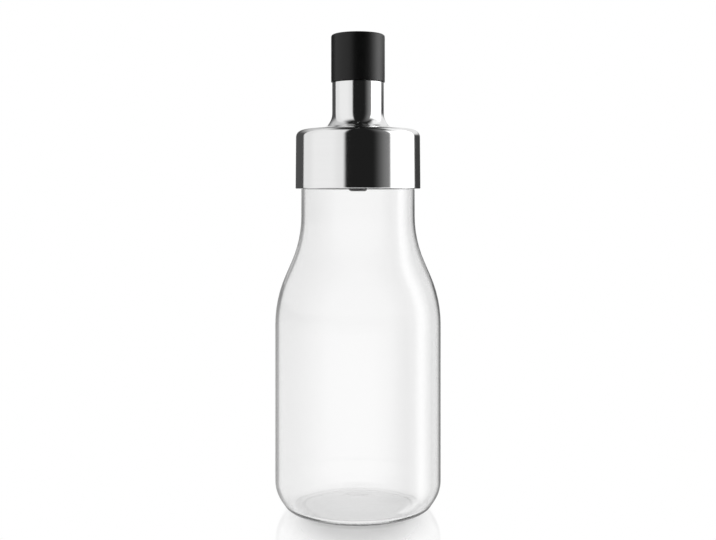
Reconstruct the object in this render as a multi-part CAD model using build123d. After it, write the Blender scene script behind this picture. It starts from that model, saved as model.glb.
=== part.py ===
from build123d import *
import math
import os

# Salad dressing shaker: a glass bottle, a steel lid that screws on, and a black cap that pulls up to pour.
# Sizes are in millimetres. Z is up, and the origin is at the centre of the foot.

# Common values
cut_overrun = 0.5            # how far every cutting body runs past the face that it cuts
full_turn = 360.0            # degrees

# Glass bottle: outside
body_radius = 33.0
shoulder_low_z = 83.6        # where the body side and the sloping shoulder would meet
shoulder_rise = 23.65        # from there to where the slope and the neck would meet
shoulder_low_bend = 48.5
shoulder_high_bend = 45.0
neck_height = 37.75          # from the top of the shoulder to the rim
base_slope_rise = 7.7        # the base is rounded along a slope this high
base_slope_run = 5.1         # and this wide
base_high_bend = 13.0        # from the side into that slope
base_low_bend = 5.7          # from that slope into the foot
foot_run = 11.4              # from the body's side to the inner edge of the ring that it stands on
push_up_depth = 1.0          # hollow in the middle of the underside
push_up_slope_run = 12.6
push_up_bend = 60.0

# Glass bottle: inside
body_wall = 1.4
neck_wall = 1.5
floor_thickness = 1.8
floor_dome_drop = 1.0        # the floor inside is this much lower near its edge than in the middle
floor_dome_bend = 50.0

# Glass bottle: finish that the lid screws on
finish_radius = 20.8
finish_wall = 2.1
rim_round = 0.9
neck_step = 1.85             # the neck is this much wider than the finish, in radius
step_above_collar = 2.2      # the neck starts to draw in to the finish this far above the collar's edge
finish_step_rise = 2.0
finish_step_bend = 0.6
mouth_step_drop = 0.3        # the inside starts to draw in this much lower than the outside
mouth_step_rise = 3.0
mouth_step_bend = 1.5

# Screw thread: short ridges, evenly spaced, all on one lead
thread_starts = 3
thread_lead = 12.0
glass_ridge_height = 1.2
glass_ridge_base = 2.2
glass_ridge_crest = 1.2
glass_ridge_span = 100.0     # degrees
glass_ridge_lift = 5.4       # from the step to the middle of a glass ridge at its low end
lid_ridge_height = 1.1
lid_ridge_base = 1.8
lid_ridge_crest = 1.0
lid_ridge_span = 60.0        # degrees
lid_ridge_drop = 1.55        # a lid ridge lies this far under the glass ridge that holds it
thread_gap = 0.4             # radial gap from a glass ridge to the wall that it faces
ridge_root = 0.4             # how far a ridge is sunk into the wall that carries it

# Lid shell: one drawn sheet
collar_height = 23.6
collar_draft = 0.2           # the collar is this much narrower at its shoulder, in radius
shell_wall = 0.8
shell_shoulder_bend = 3.0
shell_neck_radius = 10.35
shell_neck_height = 18.9
shell_neck_bend = 6.6
hem_width = 2.0
hem_corner = 0.4

# Thread liner: screw skirt and web, inside the shell
liner_gap = 0.05             # from the liner to the shell, all round
skirt_wall = 1.75
web_thickness = 2.0
skirt_mouth_widening = 0.6
skirt_mouth_depth = 3.0
liner_top_bend = 2.4
web_corner = 0.8

# Seals in the lid
gasket_thickness = 1.6
gasket_overhang = 2.1        # the gasket reaches this far in over the mouth
gasket_edge_gap = 0.1        # from the gasket to the round under the web
tube_gasket_thickness = 0.6
tube_gasket_inset = 0.6      # from the edge of the tube's flange to the edge of its gasket

# Pour tube: flange, tube in the steel neck, and spigot in the cap
flange_thickness = 1.0
flange_inset = 5.15          # from the edge of the liner to the edge of the flange
tube_gap = 0.1               # from the tube to the steel neck and to the web
tube_root_bend = 3.0
spigot_step = 1.3            # the spigot is this much thinner than the tube, in radius
spigot_wall = 2.2
spigot_top_gap = 0.6         # from the spigot to the roof of the cap
spigot_edge = 0.5

# Spider in the pour tube, which carries the stem
spoke_count = 3
spoke_width = 1.5
spoke_root = 0.4             # how far a spoke is sunk into the tube
hub_wall = 1.4
hub_height = 8.0
hub_lift = 3.0               # from the flange to the hub
stem_gap = 0.1               # radial gap from the stem to its holes

# Seals and stop ring on the tube and the spigot
seal_gap = 0.05              # from a round seal to the wall that it slides on
groove_side_gap = 0.1
neck_seal_section = 1.2
neck_seal_below_rim = 3.5
cap_seal_section = 1.6
cap_seal_land = 0.7          # from the stop ring to the groove of the cap's seal
spigot_end = 1.7             # from that groove to the top of the spigot
stop_ring_thickness = 1.2
stop_ring_gap = 0.2          # from the stop ring to the bore of the cap, and to the rib at full travel
groove_floor_gap = 0.1
stop_groove_depth = 0.8

# Pull cap
cap_overhang = 0.4           # the cap is this much wider than the steel neck, in radius
cap_gap = 0.1                # from the closed cap to the steel neck
cap_travel = 6.0
cap_wall = 1.7
cap_rib_height = 2.4
cap_rib_gap = 0.15           # from the guide rib to the spigot
cap_roof = 4.4
cap_top_edge = 0.9
cap_low_edge = 0.25
cap_roof_bend = 0.4
dish_depth = 0.8
dish_rim = 1.6
dish_slope_run = 0.9
dish_bend = 0.4

# Pour lip: the ring in the top of the cap
pour_hole_radius = 3.2
lip_width = 2.3              # from the pour hole to the cap
lip_height = 3.6
lip_gap = 0.05
lip_seat_width = 1.0         # from the pour hole to the edge of the seat
lip_edge_width = 1.1
lip_foot_height = 2.4
lip_flare = 0.3
lip_round = 0.3

# Stem, plug and nut on the axis
stem_radius = 1.9
stem_end_step = 0.4          # the stem's foot is this much thinner, in radius
stem_collar_width = 1.0
stem_collar_height = 1.2
stem_tip_step = 0.65         # the stem's tip is this much thinner, in radius
stem_tip_height = 2.4
plug_gap = 0.08              # from the plug to the pour hole
plug_top_below_lip = 0.4
plug_height = 4.0
plug_round = 0.9
nut_wall = 2.2
nut_height = 3.6
nut_cap = 1.1                # closed end of the nut
nut_round = 1.0

# Strainer: the basket that hangs in the mouth
strainer_wall = 1.0
strainer_floor = 1.2
strainer_flange_gap = 1.0    # from the strainer's flange to the gasket around it
strainer_flange_width = 3.6
strainer_flange_thickness = 1.0
strainer_low_corner = 1.5
strainer_in_corner = 0.6
nub_below_collar = 0.9       # how far the nut shows under the collar
slot_count = 16
slot_width = 1.8
slot_low_margin = 2.2
slot_high_margin = 2.4
floor_hole_count = 8
floor_hole_radius = 1.0


# Heights that follow from the pieces stacked on the mouth
shoulder_high_z = shoulder_low_z + shoulder_rise
mouth_z = shoulder_high_z + neck_height
web_z = mouth_z + gasket_thickness
web_top_z = web_z + web_thickness
flange_z = web_top_z + tube_gasket_thickness
flange_top_z = flange_z + flange_thickness
lid_top_z = flange_top_z + shell_wall
collar_z = lid_top_z - collar_height
finish_step_z = collar_z + step_above_collar
mouth_step_z = finish_step_z - mouth_step_drop
glass_ridge_z = finish_step_z + glass_ridge_lift
shell_top_z = lid_top_z + shell_neck_height
nut_z = collar_z - nub_below_collar
strainer_z = nut_z + nut_height

# Heights in the cap, from its rim up
cap_z = shell_top_z + cap_gap
stop_ring_z = cap_z + cap_rib_height + cap_travel + stop_ring_gap
stop_ring_top_z = stop_ring_z + stop_ring_thickness
cap_groove_width = cap_seal_section + 2 * groove_side_gap
cap_seal_z = stop_ring_top_z + cap_seal_land + cap_groove_width / 2
spigot_top_z = cap_seal_z + cap_groove_width / 2 + spigot_end
cap_roof_z = spigot_top_z + spigot_top_gap
cap_top_z = cap_roof_z + cap_roof
lip_z = cap_top_z - lip_height
plug_top_z = cap_top_z - plug_top_below_lip
plug_z = plug_top_z - plug_height
neck_seal_z = shell_top_z - neck_seal_below_rim

# Radius of the foot
foot_inner = body_radius - foot_run

# Radii that follow from the finish, outwards
mouth_radius = finish_radius - finish_wall
neck_radius = finish_radius + neck_step
glass_crest_radius = finish_radius + glass_ridge_height
skirt_radius = glass_crest_radius + thread_gap
lid_crest_radius = skirt_radius - lid_ridge_height
liner_radius = skirt_radius + skirt_wall
shell_inside = liner_radius + liner_gap
collar_radius = shell_inside + shell_wall
flange_radius = liner_radius - flange_inset
tube_gasket_radius = flange_radius - tube_gasket_inset

# Radii that follow from the mouth, inwards
gasket_inner_radius = mouth_radius - gasket_overhang
strainer_flange_radius = gasket_inner_radius - strainer_flange_gap
strainer_radius = strainer_flange_radius - strainer_flange_width
strainer_inside = strainer_radius - strainer_wall

# Radii that follow from the steel neck
shell_neck_inside = shell_neck_radius - shell_wall
tube_radius = shell_neck_inside - tube_gap
spigot_radius = tube_radius - spigot_step
tube_bore_radius = spigot_radius - spigot_wall
cap_radius = shell_neck_radius + cap_overhang
cap_bore_radius = cap_radius - cap_wall
cap_rib_radius = spigot_radius + cap_rib_gap
stop_ring_radius = cap_bore_radius - stop_ring_gap
stop_groove_radius = spigot_radius - stop_groove_depth

# Radii on the axis
stem_end_radius = stem_radius - stem_end_step
stem_collar_radius = stem_radius + stem_collar_width
stem_tip_radius = stem_radius - stem_tip_step
hub_radius = stem_radius + stem_gap + hub_wall
nut_radius = stem_end_radius + nut_wall
floor_hole_circle = (nut_radius + strainer_inside) / 2
plug_radius = pour_hole_radius - plug_gap
lip_radius = pour_hole_radius + lip_width
lip_seat_radius = pour_hole_radius + lip_seat_width


def turned(*corners):
    """Solid turned about Z from corners given as radius, height and corner round."""
    places = [(radius, height) for radius, height, corner in corners]
    rounds = [corner for radius, height, corner in corners]
    with BuildPart() as piece:
        with BuildSketch(Plane.XZ):
            with BuildLine():
                FilletPolyline(*places, radius=rounds, close=True)
            make_face()
        revolve(axis=Axis.Z)
    return piece.part


def ring(inner_radius, outer_radius, low_z, high_z):
    """Plain ring of rectangular section."""
    return turned(
        (inner_radius, low_z, 0),
        (outer_radius, low_z, 0),
        (outer_radius, high_z, 0),
        (inner_radius, high_z, 0),
    )


def round_seal(outer_radius, section, middle_z):
    """Ring of round section whose outside is at the given radius."""
    section_radius = section / 2
    return Pos(0, 0, middle_z) * Torus(outer_radius - section_radius, section_radius)


def save(name, solid):
    """Write one piece to its own file."""
    export_step(solid, os.path.join("parts", name + ".step"))


# Screw thread

def ridge(wall_radius, crest_radius, base_width, crest_width, span, low_z, start_angle):
    """One short thread ridge on a wall, standing out or in to its crest."""
    outward = 1 if crest_radius > wall_radius else -1
    root = -outward * ridge_root
    height = crest_radius - wall_radius
    flare = (base_width - crest_width) / abs(height) * ridge_root
    path = Helix(pitch=thread_lead, height=thread_lead * span / full_turn, radius=wall_radius)
    across = Plane(origin=path @ 0, x_dir=(1, 0, 0), z_dir=path % 0)
    half_root = (base_width + flare) / 2
    half_crest = crest_width / 2
    with BuildSketch(across) as section:
        with BuildLine():
            Polyline(
                (root, -half_root),
                (height, -half_crest),
                (height, half_crest),
                (root, half_root),
                close=True,
            )
        make_face()
    solid = sweep(section.sketch, path=path, is_frenet=True)
    return Pos(0, 0, low_z) * Rot(0, 0, start_angle) * solid


def thread(wall_radius, crest_radius, base_width, crest_width, span, low_z, start_angle):
    """All the ridges of one thread, evenly spaced round the axis."""
    step = full_turn / thread_starts
    ridges = []
    for start in range(thread_starts):
        angle = start_angle + start * step
        ridges.append(ridge(wall_radius, crest_radius, base_width, crest_width, span, low_z, angle))
    return ridges


# Glass bottle

def outside_corners():
    """Corners of the bottle's outside, from the axis under the foot up to the rim."""
    return [
        (0, push_up_depth, 0),
        (foot_inner - push_up_slope_run, push_up_depth, push_up_bend),
        (foot_inner, 0, 0),
        (body_radius - base_slope_run, 0, base_low_bend),
        (body_radius, base_slope_rise, base_high_bend),
        (body_radius, shoulder_low_z, shoulder_low_bend),
        (neck_radius, shoulder_high_z, shoulder_high_bend),
        (neck_radius, finish_step_z, finish_step_bend),
        (finish_radius, finish_step_z + finish_step_rise, finish_step_bend),
        (finish_radius, mouth_z, rim_round),
    ]


def inside_corners():
    """Corners of the bottle's inside, from the rim down to the axis at the floor."""
    inner_body = body_radius - body_wall
    inner_neck = neck_radius - neck_wall
    half_slope = math.atan2(body_radius - neck_radius, shoulder_high_z - shoulder_low_z) / 2
    low_shift = body_wall * math.tan(half_slope)
    high_shift = neck_wall * math.tan(half_slope)
    base_slope = math.atan2(base_slope_run, base_slope_rise)
    base_shift = body_wall * math.tan(base_slope / 2)
    floor_z = push_up_depth + floor_thickness
    low_floor_z = floor_z - floor_dome_drop
    slope_out = (base_slope_rise + base_shift - low_floor_z) * math.tan(base_slope)
    return [
        (mouth_radius, mouth_z, rim_round),
        (mouth_radius, mouth_step_z + mouth_step_rise, mouth_step_bend),
        (inner_neck, mouth_step_z, mouth_step_bend),
        (inner_neck, shoulder_high_z - high_shift, shoulder_high_bend + neck_wall),
        (inner_body, shoulder_low_z - low_shift, shoulder_low_bend - body_wall),
        (inner_body, base_slope_rise + base_shift, base_high_bend - body_wall),
        (inner_body - slope_out, low_floor_z, base_low_bend - body_wall),
        (foot_inner, low_floor_z, floor_dome_bend),
        (foot_inner - push_up_slope_run, floor_z, floor_dome_bend),
        (0, floor_z, 0),
    ]


def glass_bottle():
    """Bottle with its base, shoulder, neck, rounded rim and screw finish."""
    bottle = turned(*outside_corners(), *inside_corners())
    for turn_of_thread in thread(finish_radius, glass_crest_radius, glass_ridge_base,
                                 glass_ridge_crest, glass_ridge_span, glass_ridge_z, 0):
        bottle += turn_of_thread
    return bottle


# Lid

def lid_shell():
    """Drawn shell: collar with draft and a turned-in hem, flat shoulder and straight neck."""
    return turned(
        (collar_radius - hem_width, collar_z, 0),
        (collar_radius, collar_z, hem_corner),
        (collar_radius - collar_draft, lid_top_z, shell_shoulder_bend),
        (shell_neck_radius, lid_top_z, shell_neck_bend),
        (shell_neck_radius, shell_top_z, 0),
        (shell_neck_inside, shell_top_z, 0),
        (shell_neck_inside, flange_top_z, shell_neck_bend + shell_wall),
        (shell_inside - collar_draft, flange_top_z, shell_shoulder_bend - shell_wall),
        (shell_inside, collar_z + shell_wall, 0),
        (collar_radius - hem_width, collar_z + shell_wall, 0),
    )


def thread_liner():
    """Screw skirt and web that sit inside the shell and grip the glass finish."""
    skirt_z = collar_z + shell_wall + liner_gap
    widened = skirt_radius + skirt_mouth_widening
    liner = turned(
        (widened, skirt_z, 0),
        (liner_radius, skirt_z, 0),
        (liner_radius - collar_draft, web_top_z, liner_top_bend),
        (spigot_radius + tube_gap, web_top_z, 0),
        (spigot_radius + tube_gap, web_z, 0),
        (skirt_radius, web_z, web_corner),
        (skirt_radius, skirt_z + skirt_mouth_depth, 0),
        (widened, skirt_z + skirt_mouth_depth, 0),
    )
    inset = (glass_ridge_span - lid_ridge_span) / 2
    low_z = glass_ridge_z + thread_lead * inset / full_turn - lid_ridge_drop
    for turn_of_thread in thread(skirt_radius, lid_crest_radius, lid_ridge_base,
                                 lid_ridge_crest, lid_ridge_span, low_z, inset):
        liner += turn_of_thread
    return liner


def lid_gasket():
    """Flat ring between the rim of the glass and the web."""
    return ring(gasket_inner_radius, skirt_radius - web_corner - gasket_edge_gap, mouth_z, web_z)


def tube_gasket():
    """Thin flat ring between the web and the flange of the pour tube."""
    return ring(spigot_radius + tube_gap, tube_gasket_radius, web_top_z, flange_z)


# Pour tube

def seal_groove(wall_radius, slide_radius, section, middle_z):
    """Groove for a round seal in the tube's outside."""
    half_width = section / 2 + groove_side_gap
    depth_radius = slide_radius - seal_gap - section - groove_floor_gap
    return ring(depth_radius, wall_radius + cut_overrun, middle_z - half_width, middle_z + half_width)


def stop_groove():
    """Groove for the stop ring in the spigot."""
    return ring(stop_groove_radius, spigot_radius + cut_overrun, stop_ring_z, stop_ring_top_z)


def spider():
    """Hub and spokes across the bore that hold the stem on the axis."""
    hub_z = flange_top_z + hub_lift
    middle_z = hub_z + hub_height / 2
    hub = Pos(0, 0, middle_z) * Cylinder(hub_radius, hub_height)
    spoke_length = tube_bore_radius + spoke_root
    for spoke in range(spoke_count):
        arm = Pos(spoke_length / 2, 0, middle_z) * Box(spoke_length, spoke_width, hub_height)
        hub += Rot(0, 0, spoke * full_turn / spoke_count) * arm
    return hub - Pos(0, 0, middle_z) * Cylinder(stem_radius + stem_gap, hub_height + cut_overrun)


def pour_tube():
    """Flange, tube and spigot in one moulding, with its grooves and spider."""
    tube = turned(
        (tube_bore_radius, web_z, 0),
        (spigot_radius, web_z, 0),
        (spigot_radius, flange_z, 0),
        (flange_radius, flange_z, 0),
        (flange_radius, flange_top_z, 0),
        (tube_radius, flange_top_z, tube_root_bend),
        (tube_radius, shell_top_z, 0),
        (spigot_radius, shell_top_z, 0),
        (spigot_radius, spigot_top_z, spigot_edge),
        (tube_bore_radius, spigot_top_z, 0),
    )
    tube -= seal_groove(tube_radius, shell_neck_inside, neck_seal_section, neck_seal_z)
    tube -= seal_groove(spigot_radius, cap_bore_radius, cap_seal_section, cap_seal_z)
    tube -= stop_groove()
    return tube + spider()


def neck_seal():
    """Round seal between the tube and the steel neck."""
    return round_seal(shell_neck_inside - seal_gap, neck_seal_section, neck_seal_z)


def cap_seal():
    """Round seal that the cap slides on."""
    return round_seal(cap_bore_radius - seal_gap, cap_seal_section, cap_seal_z)


def stop_ring():
    """Ring on the spigot that the cap's rib meets when the cap is pulled up."""
    return ring(stop_groove_radius, stop_ring_radius, stop_ring_z, stop_ring_top_z)


# Strainer and the stem that carries it

def strainer_slots():
    """Upright slots round the basket."""
    low_z = strainer_z + slot_low_margin
    high_z = web_z - slot_high_margin
    height = high_z - low_z
    reach = strainer_radius + cut_overrun
    inner = strainer_inside - cut_overrun
    slots = []
    for slot in range(slot_count):
        cutter = Pos((inner + reach) / 2, 0, low_z + height / 2) * Box(reach - inner, slot_width, height)
        slots.append(Rot(0, 0, slot * full_turn / slot_count) * cutter)
    return slots


def strainer_floor_holes():
    """Round holes in the floor of the basket."""
    holes = []
    middle_z = strainer_z + strainer_floor / 2
    for hole in range(floor_hole_count):
        drill = Pos(floor_hole_circle, 0, middle_z) * Cylinder(floor_hole_radius,
                                                               strainer_floor + cut_overrun)
        holes.append(Rot(0, 0, hole * full_turn / floor_hole_count) * drill)
    return holes


def strainer():
    """Slotted basket that hangs from the web into the mouth."""
    flange_low_z = web_z - strainer_flange_thickness
    basket = turned(
        (stem_end_radius + stem_gap, strainer_z, 0),
        (strainer_radius, strainer_z, strainer_low_corner),
        (strainer_radius, flange_low_z, 0),
        (strainer_flange_radius, flange_low_z, 0),
        (strainer_flange_radius, web_z, 0),
        (strainer_inside, web_z, 0),
        (strainer_inside, strainer_z + strainer_floor, strainer_in_corner),
        (stem_end_radius + stem_gap, strainer_z + strainer_floor, 0),
    )
    for slot in strainer_slots():
        basket -= slot
    for hole in strainer_floor_holes():
        basket -= hole
    return basket


def stem_rod():
    """Rod on the axis: it carries the plug at its top and clamps the strainer at its foot."""
    step_z = strainer_z + strainer_floor
    collar_low_z = flange_top_z + hub_lift + hub_height
    return turned(
        (0, nut_z + nut_cap, 0),
        (stem_end_radius, nut_z + nut_cap, 0),
        (stem_end_radius, step_z, 0),
        (stem_radius, step_z, 0),
        (stem_radius, collar_low_z, 0),
        (stem_collar_radius, collar_low_z, 0),
        (stem_collar_radius, collar_low_z + stem_collar_height, 0),
        (stem_radius, collar_low_z + stem_collar_height, 0),
        (stem_radius, plug_z, 0),
        (stem_tip_radius, plug_z, 0),
        (stem_tip_radius, plug_z + stem_tip_height, 0),
        (0, plug_z + stem_tip_height, 0),
    )


def stem_plug():
    """Soft plug on the stem that closes the pour hole."""
    return turned(
        (stem_tip_radius, plug_z, 0),
        (plug_radius, plug_z, 0),
        (plug_radius, plug_top_z, plug_round),
        (0, plug_top_z, 0),
        (0, plug_z + stem_tip_height, 0),
        (stem_tip_radius, plug_z + stem_tip_height, 0),
    )


def stem_nut():
    """Closed round nut under the strainer: the dark nub that shows below the collar."""
    return turned(
        (0, nut_z, 0),
        (nut_radius, nut_z, nut_round),
        (nut_radius, strainer_z, 0),
        (stem_end_radius, strainer_z, 0),
        (stem_end_radius, nut_z + nut_cap, 0),
        (0, nut_z + nut_cap, 0),
    )


# Cap

def pull_cap():
    """Cap that slides on the spigot, with a guide rib, a dished top and a seat for the lip."""
    dish_z = cap_top_z - dish_depth
    dish_edge = cap_radius - dish_rim
    return turned(
        (cap_rib_radius, cap_z, 0),
        (cap_radius, cap_z, cap_low_edge),
        (cap_radius, cap_top_z, cap_top_edge),
        (dish_edge, cap_top_z, dish_bend),
        (dish_edge - dish_slope_run, dish_z, dish_bend),
        (lip_radius, dish_z, 0),
        (lip_radius, lip_z, 0),
        (lip_seat_radius, lip_z, 0),
        (lip_seat_radius, cap_roof_z, 0),
        (cap_bore_radius, cap_roof_z, cap_roof_bend),
        (cap_bore_radius, cap_z + cap_rib_height, 0),
        (cap_rib_radius, cap_z + cap_rib_height, 0),
    )


def pour_lip():
    """Ring with a thin flared edge that cuts the drip off."""
    outer = lip_radius - lip_gap
    waist = pour_hole_radius + lip_edge_width - lip_flare
    return turned(
        (pour_hole_radius, lip_z, 0),
        (outer, lip_z, 0),
        (outer, lip_z + lip_foot_height, 0),
        (waist, lip_z + lip_foot_height, lip_round),
        (pour_hole_radius + lip_edge_width, cap_top_z, 0),
        (pour_hole_radius, cap_top_z, lip_round),
    )


os.makedirs("parts", exist_ok=True)

save("glass_bottle", glass_bottle())
save("lid_gasket", lid_gasket())
save("lid_shell", lid_shell())
save("thread_liner", thread_liner())
save("tube_gasket", tube_gasket())
save("pour_tube", pour_tube())
save("neck_seal", neck_seal())
save("cap_seal", cap_seal())
save("stop_ring", stop_ring())
save("strainer", strainer())
save("stem_rod", stem_rod())
save("stem_plug", stem_plug())
save("stem_nut", stem_nut())
save("pull_cap", pull_cap())
save("pour_lip", pour_lip())
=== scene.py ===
import math

import bmesh
import bpy
import numpy as np
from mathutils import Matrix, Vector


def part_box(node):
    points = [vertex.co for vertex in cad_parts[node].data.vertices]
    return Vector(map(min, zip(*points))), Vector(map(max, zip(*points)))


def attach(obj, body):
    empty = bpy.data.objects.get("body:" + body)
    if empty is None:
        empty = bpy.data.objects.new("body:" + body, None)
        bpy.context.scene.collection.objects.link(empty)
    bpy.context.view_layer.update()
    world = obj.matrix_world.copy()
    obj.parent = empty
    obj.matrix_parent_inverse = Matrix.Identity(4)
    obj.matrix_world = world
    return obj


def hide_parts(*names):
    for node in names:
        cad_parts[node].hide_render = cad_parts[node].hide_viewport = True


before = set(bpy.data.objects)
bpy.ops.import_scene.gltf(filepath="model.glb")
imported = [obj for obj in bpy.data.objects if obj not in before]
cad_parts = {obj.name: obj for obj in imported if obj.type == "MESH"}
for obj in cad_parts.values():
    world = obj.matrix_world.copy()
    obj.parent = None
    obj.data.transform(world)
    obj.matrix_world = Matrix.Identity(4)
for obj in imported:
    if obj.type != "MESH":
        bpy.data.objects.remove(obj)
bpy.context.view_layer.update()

MM = 0.001
FULL_TURN = 2 * math.pi

# Photograph and camera, in pixels of the photograph where no unit is given
PHOTO_WIDTH = 716
PHOTO_HEIGHT = 540
FOCAL_PIXELS = 1100.0
HORIZON_ROW = 203.5
CAMERA_DISTANCE = 440 * MM
CAMERA_HEIGHT = 121.6 * MM
CAMERA_NEAR = 10 * MM
SENSOR_WIDTH = 36.0          # millimetres, the unit that Blender has for it

# How round shapes are cut into faces
SEGMENTS = 256
SMALL_SEGMENTS = 96
ARC_STEP = math.radians(4)
FEWEST_ARC_STEPS = 3
SUPPORT = 0.4 * MM           # a long run gets a point this close to each of its ends, which holds it flat
LONG_RUN = 4 * SUPPORT
ON_AXIS = 1e-7               # a radius below this lies on the axis
STRAIGHT = 1e-6              # a bend below this is none, in radians
SHARP_ANGLE = math.radians(35)


def new_object(name, mesh):
    """Object for a finished mesh, at the origin."""
    piece = bpy.data.objects.new(name, mesh)
    bpy.context.scene.collection.objects.link(piece)
    return piece


# Outlines and turned pieces

def corner_arc(before, corner, after, radius):
    """Points of the arc that rounds one corner of an outline."""
    before, corner, after = (np.array(place, float) for place in (before, corner, after))
    to_before = (before - corner) / np.linalg.norm(before - corner)
    to_after = (after - corner) / np.linalg.norm(after - corner)
    half = math.acos(max(-1.0, min(1.0, float(to_before @ to_after)))) / 2
    if radius <= 0 or half > math.pi / 2 - STRAIGHT:
        return [tuple(corner)]
    middle = to_before + to_after
    centre = corner + middle / np.linalg.norm(middle) * radius / math.sin(half)
    start = corner + to_before * radius / math.tan(half) - centre
    end = corner + to_after * radius / math.tan(half) - centre
    turn = math.pi - 2 * half
    steps = max(FEWEST_ARC_STEPS, math.ceil(turn / ARC_STEP))
    points = []
    for step in range(steps + 1):
        share = step / steps
        along = math.sin((1 - share) * turn) * start + math.sin(share * turn) * end
        points.append(tuple(centre + along / math.sin(turn)))
    return points


def neighbours(items, closed):
    """Each item with the next one, and the last with the first where the run is closed."""
    following = items[1:] + items[:1] if closed else items[1:]
    return list(zip(items, following))


def rounded_corners(corners, closed):
    """Points of an outline with every corner rounded. The ends of an open one stay."""
    last = len(corners) - 1
    points = []
    for index, (radius, height, bend) in enumerate(corners):
        if not closed and index in (0, last):
            points.append((radius, height))
            continue
        before = corners[index - 1][:2]
        after = corners[(index + 1) % len(corners)][:2]
        points += corner_arc(before, (radius, height), after, bend)
    return points


def outline(corners, closed):
    """Points of an outline in radius and height, with its corners rounded and its long runs held flat."""
    rounded = rounded_corners(corners, closed)
    points = []
    for start, end in neighbours(rounded, closed):
        run = math.dist(start, end)
        points.append(start)
        if run > LONG_RUN:
            for share in (SUPPORT / run, 1 - SUPPORT / run):
                points.append(tuple(a + (b - a) * share for a, b in zip(start, end)))
    if not closed:
        points.append(rounded[-1])
    return points


def ring_of_verts(form, radius, height, segments):
    """Vertices round the axis, or a single one on it."""
    if radius < ON_AXIS:
        return [form.verts.new((0, 0, height))]
    angles = [FULL_TURN * step / segments for step in range(segments)]
    return [form.verts.new((radius * math.cos(angle), radius * math.sin(angle), height)) for angle in angles]


def join_rings(form, low, high, segments):
    """Faces between two rings, either of which may be a single vertex."""
    if len(low) == 1 and len(high) == 1:
        return
    for step in range(segments):
        after = (step + 1) % segments
        if len(low) == 1:
            form.faces.new((low[0], high[after], high[step]))
        elif len(high) == 1:
            form.faces.new((low[step], low[after], high[0]))
        else:
            form.faces.new((low[step], low[after], high[after], high[step]))


def turned(name, points, closed, segments=SEGMENTS):
    """Turns an outline round the Z axis. A point on the axis becomes one vertex."""
    mesh = bpy.data.meshes.new(name)
    form = bmesh.new()
    rings = [ring_of_verts(form, radius, height, segments) for radius, height in points]
    for low, high in neighbours(rings, closed):
        join_rings(form, low, high, segments)
    bmesh.ops.recalc_face_normals(form, faces=form.faces)
    form.to_mesh(mesh)
    form.free()
    return new_object(name, mesh)


def soften(piece):
    """Smooth shading with its crisp edges kept."""
    for face in piece.data.polygons:
        face.use_smooth = True
    piece.data.set_sharp_from_angle(angle=SHARP_ANGLE)


def finish_piece(piece, body, replaced, material):
    """Material, smooth shading and the place of a piece in the frame."""
    piece.data.materials.clear()
    piece.data.materials.append(material)
    soften(piece)
    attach(piece, body)
    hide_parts(replaced)


# Node helpers

def add_node(tree, kind, **settings):
    """New node with its properties set."""
    node = tree.nodes.new(kind)
    for key, value in settings.items():
        setattr(node, key, value)
    return node


def add_sockets(tree, kind, in_out, labels):
    """Named sockets of a node group."""
    for label in labels:
        tree.interface.new_socket(label, in_out=in_out, socket_type="NodeSocket" + kind)


def calculate(tree, operation, *inputs):
    """Math node fed with sockets and numbers. Gives its output socket."""
    node = add_node(tree, "ShaderNodeMath", operation=operation)
    for socket, value in zip(node.inputs, inputs):
        if isinstance(value, (int, float)):
            socket.default_value = value
        else:
            tree.links.new(value, socket)
    return node.outputs[0]


def axis_distance(tree, x, y):
    """Distance from the Z axis."""
    return calculate(tree, "SQRT", calculate(tree, "ADD", calculate(tree, "MULTIPLY", x, x),
                                             calculate(tree, "MULTIPLY", y, y)))


# Screw ridges on the glass finish

WALL_SHARE = 0.97            # only what lies beyond this share of the wall's radius is moved
EASE_SHARE = 0.3             # softness of the ridges' upper edges
RIDGE_SIZES = ("Starts", "Lead", "Low Height", "Span", "Wall Radius", "Ridge Height", "Base Width",
               "Crest Width", "End Length")


def eased(tree, share):
    """Keeps a share between 0 and 1, and rounds its way up to 1."""
    limited = calculate(tree, "MINIMUM", calculate(tree, "MAXIMUM", share, 0.0), 1.0)
    return calculate(tree, "SMOOTH_MIN", limited, 1.0, EASE_SHARE)


def ridge_lift(tree, given, x, y, z, radius):
    """How far a point of the wall is lifted outwards by the ridges."""
    def value(operation, *inputs):
        return calculate(tree, operation, *inputs)

    step = value("DIVIDE", FULL_TURN, given["Starts"])
    angle = value("WRAP", value("ARCTAN2", y, x), step, 0.0)
    rise = value("DIVIDE", value("MULTIPLY", angle, given["Lead"]), FULL_TURN)
    off_middle = value("ABSOLUTE", value("SUBTRACT", z, value("ADD", rise, given["Low Height"])))
    half_base = value("DIVIDE", given["Base Width"], 2.0)
    half_crest = value("DIVIDE", given["Crest Width"], 2.0)
    flank = value("DIVIDE", value("SUBTRACT", half_base, off_middle),
                  value("SUBTRACT", half_base, half_crest))
    to_end = value("MINIMUM", angle, value("SUBTRACT", given["Span"], angle))
    ends = value("DIVIDE", value("MULTIPLY", to_end, radius), given["End Length"])
    on_wall = value("GREATER_THAN", radius, value("MULTIPLY", given["Wall Radius"], WALL_SHARE))
    return value("MULTIPLY", value("MULTIPLY", eased(tree, flank), eased(tree, ends)),
                 value("MULTIPLY", on_wall, given["Ridge Height"]))


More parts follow.
